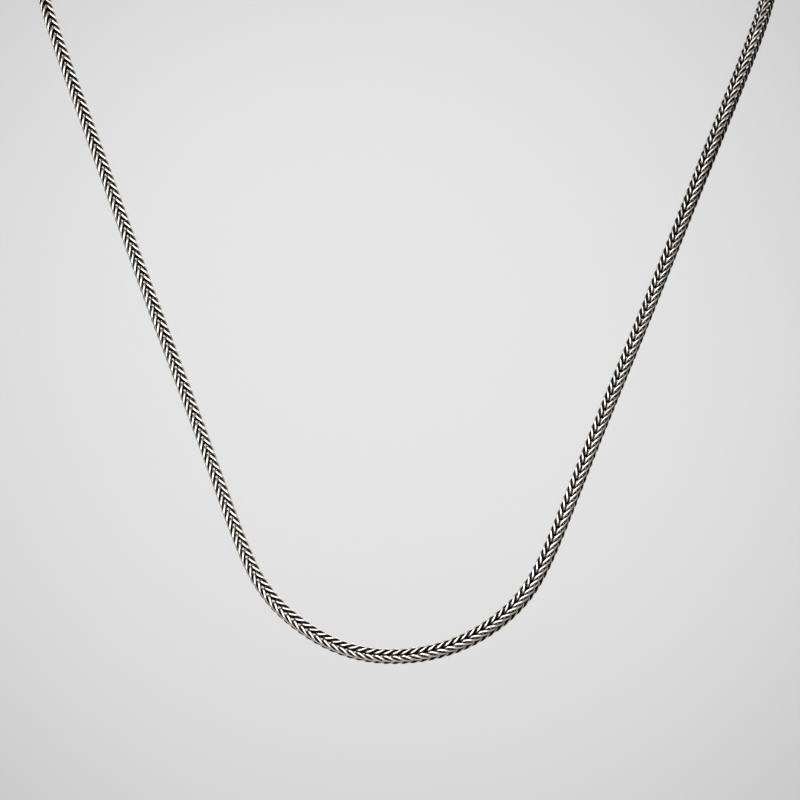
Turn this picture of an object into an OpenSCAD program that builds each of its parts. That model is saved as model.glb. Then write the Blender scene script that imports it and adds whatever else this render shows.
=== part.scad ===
// Foxtail chain necklace, worn as a whole loop.
// All sizes are in millimetres. +Z is up and the front drop faces -Y.
// The origin is at the nape, in the middle of the clasp.

/* [Chain] */
// Width of the chain across its flat faces
chain_w = 2.25; // [2.2:0.05:2.5]
// Width of the chain across its rounded corners
chain_corner_w = 2.95; // [2.8:0.05:3.1]
// Length of chain between two sections of the body
section_step = 6.5; // [6.4:0.1:8]
// Lean of the front drop away from upright, in degrees
drop_lean = 17.7; // [10:0.1:25]

/* [End caps] */
// Outside diameter of the cup that holds a chain end
cup_d = 4; // [3.9:0.1:4.6]
// Diameter of the cup's bore
cup_bore_d = 3.35; // [3.3:0.05:3.5]
// Length of the cup
cup_l = 6.5; // [5:0.1:8]
// Thickness of the cup's floor
cup_floor = 1; // [0.8:0.1:1.4]
// Diameter of the wire of the eye soldered to the cup
eye_wire = 1; // [0.8:0.05:1.1]
// Width of the hole in the eye
eye_hole = 2.2; // [2.1:0.05:2.6]

/* [Clasp] */
// Distance between the middles of the clasp's two bends
clasp_span = 14; // [12:0.5:18]
// Diameter of the wire of the bends
clasp_wire = 1.1; // [1:0.05:1.2]
// Width of the hole inside a bend
bend_hole = 2.5; // [2.4:0.05:3]
// Diameter of the thicker shank
shank_d = 1.4; // [1.3:0.05:1.6]
// Length of the hook's return leg
leg_l = 3.8; // [3:0.1:5]
// Diameter of the ball on the hook's tip
tip_d = 1.5; // [1.4:0.05:1.8]
// Play between the clasp and an eye
play = 0.15; // [0.1:0.05:0.2]

/* [Hidden] */
$fn = 48;
dark_silver = [0.5, 0.49, 0.47];
plain_silver = [0.72, 0.71, 0.69];

// The route of half the loop, from the lowest point of the front drop to the
// nape. The columns are x, y and z, and how far the chain is turned about its
// own line, in degrees, on the left strand and on the right strand.
half_route = [
    [-1, -104.5, -134.7, 2, 2],
    [11, -103.5, -132.7, 0, 13],
    [21.1, -101.4, -125.6, -1, 18],
    [25.8, -98.5, -117.5, -2, 14],
    [32.5, -93, -99.6, -1, 7],
    [42, -85.5, -77, 4, 11],
    [51, -78.5, -54, -1, 15],
    [60.2, -71, -31.1, 0, 38],
    [65.2, -66.5, -18, 0, 42],
    [66.5, -54.5, -7.5, 0, 45],
    [62, -40, -3, 0, 45],
    [54, -25.5, -1, 0, 45],
    [44.5, -13, -0.5, 0, 45],
    [34.5, -4, 0, 0, 45],
    [24, 0, 0, 0, 45],
    [16, 0, 0, 0, 45],
    [8, 0, 0, 0, 45],
    [0, 0, 0, 0, 45]
];
last_row = len(half_route) - 1;

// The whole route, from the nape down the left strand and up the right one.
route = concat(
    [for (i = [last_row : -1 : 1]) let (r = half_route[i]) [-r.x, r.y, r.z, r[3]]],
    [for (r = half_route) [r.x, r.y, r.z, r[4]]]
);
last_span = len(route) - 3;

// A point of the smooth curve that the route's points steer. The whole part of
// u says which span it lies on, and the rest how far along that span.
function curve(u) =
    let (
        i = min(floor(u), last_span),
        t = u - i,
        before = pow(1 - t, 3),
        here = 3 * pow(t, 3) - 6 * pow(t, 2) + 4,
        next = -3 * pow(t, 3) + 3 * pow(t, 2) + 3 * t + 1,
        after = pow(t, 3)
    )
    (before * route[i - 1] + here * route[i] + next * route[i + 1] + after * route[i + 2]) / 6;

function place(u) = let (c = curve(u)) [c.x, c.y, c.z];
function unit(v) = v / norm(v);

// Length along the curve, kept as a table of length against u.
steps_per_span = 24;
step_count = last_span * steps_per_span;
function step_u(i) = 1 + i / steps_per_span;
length_table = [
    for (i = 0, run = 0; i <= step_count;
         run = run + (i < step_count ? norm(place(step_u(i + 1)) - place(step_u(i))) : 0), i = i + 1)
    [run, step_u(i)]
];
curve_l = length_table[step_count][0];
curve_start_x = -place(1).x;

// Places along X of the pieces at the nape, on the positive side.
eye_r = (eye_hole + eye_wire) / 2;
bend_r = (bend_hole + clasp_wire) / 2;
bend_x = clasp_span / 2;
eye_x = bend_x + bend_r - clasp_wire / 2 - play - eye_wire / 2 + eye_r;
eye_show = 0.3; // wire of the eye that shows before the cup's floor
cup_x = eye_x + eye_hole / 2 + eye_show;
chain_end_gap = 0.3;
chain_end_x = cup_x + cup_floor + chain_end_gap;

// The chain's sections, from one cup to the other.
chain_start = chain_end_x - curve_start_x;
chain_l = curve_l - 2 * chain_start;
section_count = floor(chain_l / section_step) + 1;
function section_u(i) = lookup(chain_start + chain_l * i / (section_count - 1), length_table);

// The outline of a section is a square with its corners cut.
half_w = chain_w / 2;
corner_in = chain_corner_w / sqrt(2) - half_w;
outline = [
    [half_w, -corner_in], [half_w, corner_in], [corner_in, half_w], [-corner_in, half_w],
    [-half_w, corner_in], [-half_w, -corner_in], [-corner_in, -half_w], [corner_in, -half_w]
];
sides = len(outline);
front = [0, -cos(drop_lean), sin(drop_lean)];
look_u = 0.01; // how far ahead and behind a section looks for its direction

function section(u) =
    let (
        here = curve(u),
        centre = place(u),
        ahead = unit(place(min(u + look_u, last_span + 1)) - place(max(u - look_u, 1))),
        face = unit(front - (front * ahead) * ahead),
        across = cross(ahead, face),
        turn = here[3]
    )
    [
        for (p = outline)
        let (
            a = p.x * cos(turn) - p.y * sin(turn),
            f = p.x * sin(turn) + p.y * cos(turn)
        )
        centre + a * across + f * face
    ];

// The body that the chain's links fill, square with cut corners.
module chain() {
    color(dark_silver)
        polyhedron(
            points = [for (i = [0 : section_count - 1]) each section(section_u(i))],
            faces = concat(
                [[for (k = [0 : sides - 1]) k]],
                [
                    for (i = [0 : section_count - 2], k = [0 : sides - 1])
                    let (a = i * sides, n = (k + 1) % sides)
                    [a + k, a + sides + k, a + sides + n, a + n]
                ],
                [[for (k = [sides - 1 : -1 : 0]) (section_count - 1) * sides + k]]
            )
        );
}

// A cup with its bore, and an eye soldered to its floor, on the positive side.
module end_cap() {
    color(plain_silver) {
        difference() {
            translate([cup_x, 0, 0]) rotate([0, 90, 0]) cylinder(d = cup_d, h = cup_l);
            translate([cup_x + cup_floor, 0, 0]) rotate([0, 90, 0]) cylinder(d = cup_bore_d, h = cup_l);
        }
        translate([eye_x, 0, 0]) rotate_extrude() translate([eye_r, 0]) circle(d = eye_wire);
    }
}

module end_cap_right() {
    end_cap();
}

module end_cap_left() {
    mirror([1, 0, 0]) end_cap();
}

// A hook of bent wire: a ring that holds the left eye, a shank with rounded
// ends, and a hook in the right eye, with a ball on its tip.
module clasp() {
    color(plain_silver) {
        translate([-bend_x, 0, 0]) rotate([90, 0, 0])
            rotate_extrude() translate([bend_r, 0]) circle(d = clasp_wire);
        translate([-bend_x, 0, bend_r]) rotate([0, 90, 0]) cylinder(d = shank_d, h = clasp_span);
        for (side = [-1, 1]) translate([side * bend_x, 0, bend_r]) sphere(d = shank_d);
        translate([bend_x, 0, 0]) rotate([90, 0, 0]) rotate([0, 0, -90])
            rotate_extrude(angle = 180) translate([bend_r, 0]) circle(d = clasp_wire);
        translate([bend_x - leg_l, 0, -bend_r]) rotate([0, 90, 0]) cylinder(d = clasp_wire, h = leg_l);
        translate([bend_x - leg_l, 0, -bend_r]) sphere(d = tip_d);
    }
}

chain();
end_cap_left();
end_cap_right();
clasp();
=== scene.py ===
import math

import bpy
import numpy as np
from mathutils import Matrix, Vector
from mathutils.bvhtree import BVHTree


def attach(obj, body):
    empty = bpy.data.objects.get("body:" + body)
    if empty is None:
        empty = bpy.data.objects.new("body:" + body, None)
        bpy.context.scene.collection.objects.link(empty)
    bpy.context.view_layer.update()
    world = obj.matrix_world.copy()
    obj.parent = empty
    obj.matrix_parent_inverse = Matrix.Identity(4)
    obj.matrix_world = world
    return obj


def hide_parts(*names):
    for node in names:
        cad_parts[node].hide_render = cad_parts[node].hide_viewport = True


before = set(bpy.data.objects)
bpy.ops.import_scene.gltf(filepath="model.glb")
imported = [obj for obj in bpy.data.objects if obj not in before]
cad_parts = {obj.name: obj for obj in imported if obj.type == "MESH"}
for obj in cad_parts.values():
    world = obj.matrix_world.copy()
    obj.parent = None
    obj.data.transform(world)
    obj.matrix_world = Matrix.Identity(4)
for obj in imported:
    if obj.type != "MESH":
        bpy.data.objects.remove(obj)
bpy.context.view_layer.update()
print("the packed necklace is loaded")


# The camera looks level at the necklace from the front, and leans so that its right side is higher.
cameraSetup = {
    "place": (-0.0001, -0.7377, -0.0910),
    "turnDeg": -0.038,  # above zero it turns to the left
    "rollDeg": 0.89,
    "lensMm": 170,
    "sees": (0.01, 50),  # the nearest and the farthest that it sees
}


def setCamera(setup):
    data = bpy.data.cameras.new("camera")
    data.lens = setup["lensMm"]
    data.clip_start, data.clip_end = setup["sees"]
    camera = bpy.data.objects.new("camera", data)
    bpy.context.scene.collection.objects.link(camera)
    upright = Matrix.Rotation(math.radians(90), 4, "X")
    turn = Matrix.Rotation(math.radians(setup["turnDeg"]), 4, "Z")
    roll = Matrix.Rotation(math.radians(setup["rollDeg"]), 4, "Z")
    camera.matrix_world = Matrix.Translation(setup["place"]) @ (turn @ upright) @ roll
    bpy.context.scene.camera = camera


setCamera(cameraSetup)
print("the camera stands")


# How the chain hangs, in metres and degrees.
chainHang = {
    # from the lowest point of the front drop to the nape: x, y and z, and how far the chain is
    # turned about its own line on the left strand and on the right strand
    "halfRoute": [
        (-0.001, -0.1045, -0.1347, 2, 2),
        (0.011, -0.1035, -0.1327, 0, 13),
        (0.0211, -0.1014, -0.1256, -1, 18),
        (0.0258, -0.0985, -0.1175, -2, 14),
        (0.0325, -0.093, -0.0996, -1, 7),
        (0.042, -0.0855, -0.077, 4, 11),
        (0.051, -0.0785, -0.054, -1, 15),
        (0.0602, -0.071, -0.0311, 0, 38),
        (0.0652, -0.0665, -0.018, 0, 42),
        (0.0665, -0.0545, -0.0075, 0, 45),
        (0.062, -0.040, -0.003, 0, 45),
        (0.054, -0.0255, -0.001, 0, 45),
        (0.0445, -0.013, -0.0005, 0, 45),
        (0.0345, -0.004, 0, 0, 45),
        (0.024, 0, 0, 0, 45),
        (0.016, 0, 0, 0, 45),
        (0.008, 0, 0, 0, 45),
        (0, 0, 0, 0, 45),
    ],
    "leanDeg": 17.7,  # the front drop leans back from upright
    "endX": 0.0119,  # the chain ends inside the cups, this far from the middle
    "lookU": 0.01,  # how far ahead and behind a place looks for the chain's direction
    "fineSteps": 20000,  # short steps that the chain's length is added up from
}


def wholeRoute(hang):
    half = hang["halfRoute"]
    left = [(-x, y, z, turnLeft) for x, y, z, turnLeft, turnRight in reversed(half[1:])]
    right = [(x, y, z, turnRight) for x, y, z, turnLeft, turnRight in half]
    return np.array(left + right)


def routeCurve(route, u):
    # places on the smooth curve that the route's points steer; u counts the spans between the points
    span = np.minimum(np.floor(u).astype(int), len(route) - 3)
    t = (u - span)[:, None]
    before = (1 - t) ** 3
    here = 3 * t ** 3 - 6 * t ** 2 + 4
    ahead = -3 * t ** 3 + 3 * t ** 2 + 3 * t + 1
    after = t ** 3
    nearPart = before * route[span - 1] + here * route[span]
    return (nearPart + ahead * route[span + 1] + after * route[span + 2]) / 6


def unitRows(rows):
    return rows / np.linalg.norm(rows, axis=-1, keepdims=True)


route = wholeRoute(chainHang)
fineU = np.linspace(1, len(route) - 2, chainHang["fineSteps"] + 1)
finePlaces = routeCurve(route, fineU)[:, :3]
fineRun = np.concatenate([[0], np.cumsum(np.linalg.norm(np.diff(finePlaces, axis=0), axis=1))])
print("the chain's route is laid")


def chainFrame(at, hang):
    # at these lengths along the chain: its place, the directions across it and out of its face,
    # and its turn
    u = np.interp(at, fineRun, fineU)
    here = routeCurve(route, u)
    look = hang["lookU"]
    along = unitRows(routeCurve(route, u + look)[:, :3] - routeCurve(route, u - look)[:, :3])
    lean = math.radians(hang["leanDeg"])
    front = np.array([0, -math.cos(lean), math.sin(lean)])
    face = unitRows(front - (along @ front)[:, None] * along)
    across = np.cross(along, face)
    return here[:, :3], across, face, np.radians(here[:, 3])


# One link is a ring of wire folded into a saddle, with a fold at the back and two ears ahead of it.
# It passes through the two links before it.
chainLinks = {
    "pitch": 0.0015,  # nearly: a whole number of links is spread evenly over the chain
    "wire": 0.00047,
    "wireSides": 10,
    "stepsRound": 56,
    "along": (0.00172, 0.0001),  # its waves 2 and 6 along the chain
    "spread": (0.00068, 0.00055, 0.000084, 0, 0.000053),  # its waves 1, 3, 5, 7 and 9 across
    "wobbleDeg": 1.2,  # how much the chain is turned this way and that
    "wobbleLinks": 30,  # links over which such a turn comes and goes
    "seed": 7,
}
slantDir = [0.3, 0.5, 0.8]  # a sideways direction is taken square to this one


def linkMiddles(links, hang):
    endRun = hang["endX"] + finePlaces[0, 0]
    halfLink = sum(links["along"]) + links["wire"] / 2
    first = endRun + halfLink
    last = fineRun[-1] - endRun - halfLink
    count = int(round((last - first) / links["pitch"])) + 1
    return np.linspace(first, last, count)


def slowTurns(links, count):
    rough = np.random.default_rng(links["seed"]).standard_normal(count)
    window = np.hanning(links["wobbleLinks"])
    return math.radians(links["wobbleDeg"]) * np.convolve(rough, window / np.linalg.norm(window), "same")


def linkLine(links):
    # the middle line of one link's wire: x along the chain, then out of the face, then across
    t = np.linspace(0, 2 * math.pi, links["stepsRound"], endpoint=False)
    x = -sum(size * np.cos((4 * k + 2) * t) for k, size in enumerate(links["along"]))
    out = sum(size * np.sin((2 * k + 1) * t) for k, size in enumerate(links["spread"]))
    side = sum(size * (-1) ** k * np.cos((2 * k + 1) * t) for k, size in enumerate(links["spread"]))
    return np.stack([x, out, side], axis=1)


def lineDirs(line):
    return unitRows(np.roll(line, -1, 0) - np.roll(line, 1, 0))


def wireSkin(line, diameter, sides):
    # a round skin over a closed line: its points and which way each faces
    tangent = lineDirs(line)
    normals = [unitRows(np.cross(tangent[0], slantDir))]
    for t in list(tangent[1:]) + [tangent[0]]:
        normals.append(unitRows(normals[-1] - (normals[-1] @ t) * t))
    side = np.cross(tangent[0], normals[0])
    twist = math.atan2(normals[-1] @ side, normals[-1] @ normals[0])
    count = len(line)
    faceDirs = np.zeros((count, sides, 3))
    for i in range(count):
        binormal = np.cross(tangent[i], normals[i])
        angles = -twist * i / count + 2 * math.pi * np.arange(sides) / sides
        faceDirs[i] = np.outer(np.cos(angles), normals[i]) + np.outer(np.sin(angles), binormal)
    points = line[:, None] + faceDirs * diameter / 2
    return points.reshape(-1, 3), faceDirs.reshape(-1, 3)


def ringFaces(count, sides):
    i, k = np.meshgrid(np.arange(count), np.arange(sides), indexing="ij")
    nextI = (i + 1) % count
    nextK = (k + 1) % sides
    quads = np.stack([i * sides + k, i * sides + nextK, nextI * sides + nextK, nextI * sides + k], axis=-1)
    return quads.reshape(-1, 4)


# Where rubbing has taken the black off the links, and where shade is painted on them in black: on the wires'
# flanks and where the neighbouring links hide the sky.
rubAndShadeSetup = {
    "neighbours": 4,  # links on either side that shade a link
    "skyRays": 60,
    "skyReach": 0.004,  # what is farther off than this hides no sky
    "rayLift": 0.000005,  # the rays start this far off the wire
    "openEnough": 0.4,  # wire that sees this share of the sky gets no painted shade from its neighbours
    "outlinePower": 4,  # how square the chain's outline is: 2 is round
    "from": 0.00022,  # wire this far out from the chain's middle begins to be rubbed
    "full": 0.00045,  # and from here on out it is rubbed in full
    "narrow": 2.2,  # a higher number leaves a narrower bright crest and paints more shade on the wire's flanks
    # share of the chain from its left end, and how bright the links are kept there: painted shade that
    # darkens the bottom and the right strand, most on its upper part
    "shadeAlongChain": ((0.4, 1), (0.47, 0.83), (0.55, 0.78), (0.64, 0.62), (0.72, 0.54), (0.8, 0.54), (0.95, 0.9)),
}


def rubAndShadeOf(rubAndShadeRules, links, line, points, faceDirs, quads):
    # Rubbing keeps bright what stands out: the crest of a wire that runs near the chain's outline. Painted
    # shade blackens the wire's flanks and wherever it sees too little sky past the neighbouring links.
    power = rubAndShadeRules["outlinePower"]
    across = line[:, 1:]
    height = (np.abs(across) ** power).sum(axis=1) ** (1 / power)
    near = np.clip((height - rubAndShadeRules["from"]) / (rubAndShadeRules["full"] - rubAndShadeRules["from"]), 0, 1)
    outward = np.zeros_like(line)
    outward[:, 1:] = unitRows(across * np.abs(across) ** (power - 2))
    tilt = np.linalg.norm(np.cross(lineDirs(line), outward), axis=1)
    sides = links["wireSides"]
    facing = (faceDirs * outward.repeat(sides, axis=0)).sum(axis=1) / tilt.repeat(sides)
    stands = near.repeat(sides) * np.clip(facing, 0, 1) ** rubAndShadeRules["narrow"]
    return stands * openSky(rubAndShadeRules, links, points, faceDirs, quads)


# The share of sky each point sees past the neighbouring links; where it is small the wire is painted black as
# shade.
def openSky(rubAndShadeRules, links, points, faceDirs, quads):
    around = range(-rubAndShadeRules["neighbours"], rubAndShadeRules["neighbours"] + 1)
    crowd = np.concatenate([points + [k * links["pitch"], 0, 0] for k in around])
    crowdQuads = np.concatenate([quads + k * len(points) for k in range(len(around))])
    tree = BVHTree.FromPolygons(crowd.tolist(), crowdQuads.tolist())
    rays = rubAndShadeRules["skyRays"]
    goldenTurn = math.pi * (3 - math.sqrt(5))  # it spreads the rays evenly
    heights = np.sqrt((np.arange(rays) + 0.5) / rays)
    flats = np.sqrt(1 - heights ** 2)
    seen = np.zeros(len(points))
    for n, (point, out) in enumerate(zip(points, faceDirs)):
        side = unitRows(np.cross(out, slantDir))
        other = np.cross(out, side)
        start = point + out * rubAndShadeRules["rayLift"]
        for k in range(rays):
            flat = math.cos(k * goldenTurn) * side + math.sin(k * goldenTurn) * other
            ray = heights[k] * out + flats[k] * flat
            if tree.ray_cast(start.tolist(), ray.tolist(), rubAndShadeRules["skyReach"])[0] is None:
                seen[n] += 1 / rays
    return np.clip(seen / rubAndShadeRules["openEnough"], 0, 1)


def standMesh(name, points, quads):
    mesh = bpy.data.meshes.new(name)
    mesh.from_pydata(points, [], quads)
    mesh.update()
    mesh.polygons.foreach_set("use_smooth", [True] * len(mesh.polygons))
    piece = bpy.data.objects.new(name, mesh)
    bpy.context.scene.collection.objects.link(piece)
    return piece


def buildLinks(name, links, rubAndShadeRules, hang, middles, wobbles):
    line = linkLine(links)
    points, faceDirs = wireSkin(line, links["wire"], links["wireSides"])
    quads = ringFaces(links["stepsRound"], links["wireSides"])
    rubAndShade = rubAndShadeOf(rubAndShadeRules, links, line, points, faceDirs, quads)
    place, across, face, turn = chainFrame(np.add.outer(middles, points[:, 0]).ravel(), hang)
    angle = (turn + wobbles.repeat(len(points)))[:, None]
    outDir = np.cos(angle) * face - np.sin(angle) * across
    sideDir = np.cos(angle) * across + np.sin(angle) * face
    out = np.tile(points[:, 1], len(middles))[:, None]
    side = np.tile(points[:, 2], len(middles))[:, None]
    allPoints = place + out * outDir + side * sideDir
    allQuads = np.concatenate([quads + i * len(points) for i in range(len(middles))])
    piece = standMesh(name, allPoints.tolist(), allQuads.tolist())
    # The amounts paint shade along the chain: the bottom and the right strand are kept darker.
    shares, shadeAlongChain = zip(*rubAndShadeRules["shadeAlongChain"])
    strandShade = np.interp(middles / fineRun[-1], shares, shadeAlongChain)
    # The attribute holds rubbing wear and painted shade together.
    rubAndShadeLayer = piece.data.attributes.new("rubAndShade", "FLOAT", "POINT")
    rubAndShadeLayer.data.foreach_set("value", np.outer(strandShade, rubAndShade).ravel().astype(np.float32))
    return piece


# Silver wire, blackened all over and rubbed bright where it stands out, with painted shade in the same black
# on the wires' flanks, where neighbours hide the sky, and along the bottom and right strand. Sizes count per
# metre.
linkFinish = {
    "bright": (0.96, 0.91, 0.845),
    "black": (0.0138, 0.011, 0.0088),
    "brightSpan": (0.25, 0.6),  # black below the first value of the mask of rubbing and painted shade, bright above the second
    "roughness": (0.55, 0.3),  # black, then bright
    "blackGloss": 0.08,
    "patchSize": 900,  # patches of heavier and lighter blackening
    "patchDetail": 3,
    "patchAmount": 0.08,
    "scratchSize": 9000,
    "scratchDetail": 2,
    "scratchDepth": 0.00001,
    "scratchStrength": 0.5,
}
noiseSpan = (0.3, 0.7)  # nearly all of a noise texture's values lie between these


def newMaterial(name):
    material = bpy.data.materials.new(name)
    material.use_nodes = True
    tree = material.node_tree
    tree.nodes.clear()
    output = tree.nodes.new("ShaderNodeOutputMaterial")
    shader = tree.nodes.new("ShaderNodeBsdfPrincipled")
    tree.links.new(shader.outputs["BSDF"], output.inputs["Surface"])
    return material, tree, shader


def noiseOf(tree, size, detail):
    place = tree.nodes.new("ShaderNodeTexCoord")
    noise = tree.nodes.new("ShaderNodeTexNoise")
    noise.inputs["Scale"].default_value = size
    noise.inputs["Detail"].default_value = detail
    tree.links.new(place.outputs["Object"], noise.inputs["Vector"])
    return noise.outputs["Fac"]


def ranged(tree, value, fromSpan, toSpan):
    node = tree.nodes.new("ShaderNodeMapRange")
    node.interpolation_type = "SMOOTHSTEP"
    node.inputs["From Min"].default_value, node.inputs["From Max"].default_value = fromSpan
    node.inputs["To Min"].default_value, node.inputs["To Max"].default_value = toSpan
    tree.links.new(value, node.inputs["Value"])
    return node.outputs["Result"]


def added(tree, first, second):
    node = tree.nodes.new("ShaderNodeMath")
    node.operation = "ADD"
    tree.links.new(first, node.inputs[0])
    tree.links.new(second, node.inputs[1])
    return node.outputs[0]


def scratched(tree, shader, finish):
    scratches = noiseOf(tree, finish["scratchSize"], finish["scratchDetail"])
    bump = tree.nodes.new("ShaderNodeBump")
    bump.inputs["Distance"].default_value = finish["scratchDepth"]
    bump.inputs["Strength"].default_value = finish["scratchStrength"]
    tree.links.new(scratches, bump.inputs["Height"])
    tree.links.new(bump.outputs["Normal"], shader.inputs["Normal"])


def mixedColour(tree, shader, share, first, second):
    colour = tree.nodes.new("ShaderNodeMix")
    colour.data_type = "RGBA"
    tree.links.new(share, colour.inputs["Factor"])
    colour.inputs["A"].default_value = (*first, 1)
    colour.inputs["B"].default_value = (*second, 1)
    tree.links.new(colour.outputs["Result"], shader.inputs["Base Color"])


def blackenedShadedSilver(finish):
    material, tree, shader = newMaterial("blackenedShadedSilver")
    # The attribute holds rubbing wear and painted shade; where it is low the wire is painted black.
    rubAndShade = tree.nodes.new("ShaderNodeAttribute")
    rubAndShade.attribute_name = "rubAndShade"
    noise = noiseOf(tree, finish["patchSize"], finish["patchDetail"])
    patches = ranged(tree, noise, noiseSpan, (-finish["patchAmount"], finish["patchAmount"]))
    bright = ranged(tree, added(tree, rubAndShade.outputs["Fac"], patches), finish["brightSpan"], (0, 1))
    mixedColour(tree, shader, bright, finish["black"], finish["bright"])
    tree.links.new(ranged(tree, bright, (0, 1), finish["roughness"]), shader.inputs["Roughness"])
    tree.links.new(bright, shader.inputs["Metallic"])
    shader.inputs["Specular IOR Level"].default_value = finish["blackGloss"]
    scratched(tree, shader, finish)
    return material


middles = linkMiddles(chainLinks, chainHang)
wobbles = slowTurns(chainLinks, len(middles))
halfCount = len(middles) // 2
linkMaterial = blackenedShadedSilver(linkFinish)
for name, part in (("links_left_half", slice(None, halfCount)), ("links_right_half", slice(halfCount, None))):
    piece = buildLinks(name, chainLinks, rubAndShadeSetup, chainHang, middles[part], wobbles[part])
    piece.data.materials.append(linkMaterial)
    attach(piece, "root")
    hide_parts("chain")
print("the links are woven:", len(middles))


# Plain polished silver for both cups and the clasp, hazy in patches. Sizes count per metre.
fittingFinish = {
    "colour": (0.80, 0.78, 0.75),
    "dull": (0.52, 0.50, 0.47),
    "hazeSize": 420,
    "hazeDetail": 5,
    "hazeAmount": 0.6,
    "roughness": (0.14, 0.3),  # clear, then hazy
    "scratchSize": 5200,
    "scratchDetail": 2,
    "scratchDepth": 0.000008,
    "scratchStrength": 0.4,
}


def polishedSilver(finish):
    material, tree, shader = newMaterial("polishedSilver")
    haze = noiseOf(tree, finish["hazeSize"], finish["hazeDetail"])
    dulled = ranged(tree, haze, noiseSpan, (0, finish["hazeAmount"]))
    mixedColour(tree, shader, dulled, finish["colour"], finish["dull"])
    tree.links.new(ranged(tree, haze, noiseSpan, finish["roughness"]), shader.inputs["Roughness"])
    shader.inputs["Metallic"].default_value = 1
    scratched(tree, shader, finish)
    return material


fittingMaterial = polishedSilver(fittingFinish)
for name in ("end_cap_left", "end_cap_right", "clasp"):
    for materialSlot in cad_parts[name].material_slots:
        materialSlot.material = fittingMaterial
print("the cups and the clasp are polished")


# A pale floor that sweeps up into a wall behind the necklace and a low one far in front of it.
studio = {
    "floorZ": -0.9,
    "backWall": {"y": 1.7, "radius": 0.5, "top": 2.2},
    "frontWall": {"y": -8.0, "radius": -1.5, "top": 1.2},  # its sweep opens the other way
    "sweepSteps": 24,
    "halfWidth": 6.0,
    "paint": (0.695, 0.695, 0.695),
    "paintDeep": (0.675, 0.675, 0.675),
    "mottleSize": 2.5,
    "mottleDetail": 2,
    "roughness": 0.9,
    "gloss": 0.1,
}


def sweepUp(wall, setup):
    rows = []
    for i in range(setup["sweepSteps"] + 1):
        angle = math.pi / 2 * i / setup["sweepSteps"]
        y = wall["y"] - wall["radius"] + wall["radius"] * math.sin(angle)
        z = setup["floorZ"] + abs(wall["radius"]) * (1 - math.cos(angle))
        rows.append((y, z))
    return rows + [(wall["y"], wall["top"])]


def buildBackdrop(setup):
    profile = sweepUp(setup["frontWall"], setup)[::-1] + sweepUp(setup["backWall"], setup)
    points = []
    for y, z in profile:
        points.append((-setup["halfWidth"], y, z))
        points.append((setup["halfWidth"], y, z))
    quads = [(2 * i, 2 * i + 1, 2 * i + 3, 2 * i + 2) for i in range(len(profile) - 1)]
    backdrop = standMesh("backdrop", points, quads)
    material, tree, shader = newMaterial("palePaint")
    mottle = noiseOf(tree, setup["mottleSize"], setup["mottleDetail"])
    mixedColour(tree, shader, mottle, setup["paint"], setup["paintDeep"])
    shader.inputs["Roughness"].default_value = setup["roughness"]
    shader.inputs["Specular IOR Level"].default_value = setup["gloss"]
    backdrop.data.materials.append(material)


buildBackdrop(studio)
print("the backdrop is up")


# A broad soft box above the camera and to its left, and a weak one high behind the nape.
softBoxes = {
    "softBox": {"place": (-0.5, -0.8, 0.4), "aim": (0, -0.08, -0.07), "size": (1.3, 1.0), "watts": 11.5},
    "napeBox": {"place": (0.4, 0.9, 0.8), "aim": (0, 0, -0.05), "size": (1.0, 0.8), "watts": 6},
}
# A spot on the middle of the back wall, soft all the way to its edge.
wallSpot = {
    "place": (0, -0.2, 0.35),
    "aim": (0, 1.7, -0.06),
    "coneDeg": 34,
    "softEdge": 1,
    "radius": 0.15,
    "watts": 92,
}
roomLight = {"colour": (0.80, 0.80, 0.80), "strength": 0.5}


def standLamp(name, kind, lamp):
    data = bpy.data.lights.new(name, kind)
    data.energy = lamp["watts"]
    light = bpy.data.objects.new(name, data)
    bpy.context.scene.collection.objects.link(light)
    light.location = lamp["place"]
    ray = Vector(lamp["aim"]) - Vector(lamp["place"])
    light.rotation_euler = ray.to_track_quat("-Z", "Y").to_euler()
    return data


for name, lamp in softBoxes.items():
    boxLight = standLamp(name, "AREA", lamp)
    boxLight.shape = "RECTANGLE"
    boxLight.size, boxLight.size_y = lamp["size"]
spotLight = standLamp("wallSpot", "SPOT", wallSpot)
spotLight.spot_size = math.radians(wallSpot["coneDeg"])
spotLight.spot_blend = wallSpot["softEdge"]
spotLight.shadow_soft_size = wallSpot["radius"]
world = bpy.data.worlds.new("room")
world.use_nodes = True
background = world.node_tree.nodes["Background"]
background.inputs["Color"].default_value = (*roomLight["colour"], 1)
background.inputs["Strength"].default_value = roomLight["strength"]
bpy.context.scene.world = world
bpy.context.scene.view_settings.view_transform = "Standard"
print("the studio is lit")


bpy.context.view_layer.update()
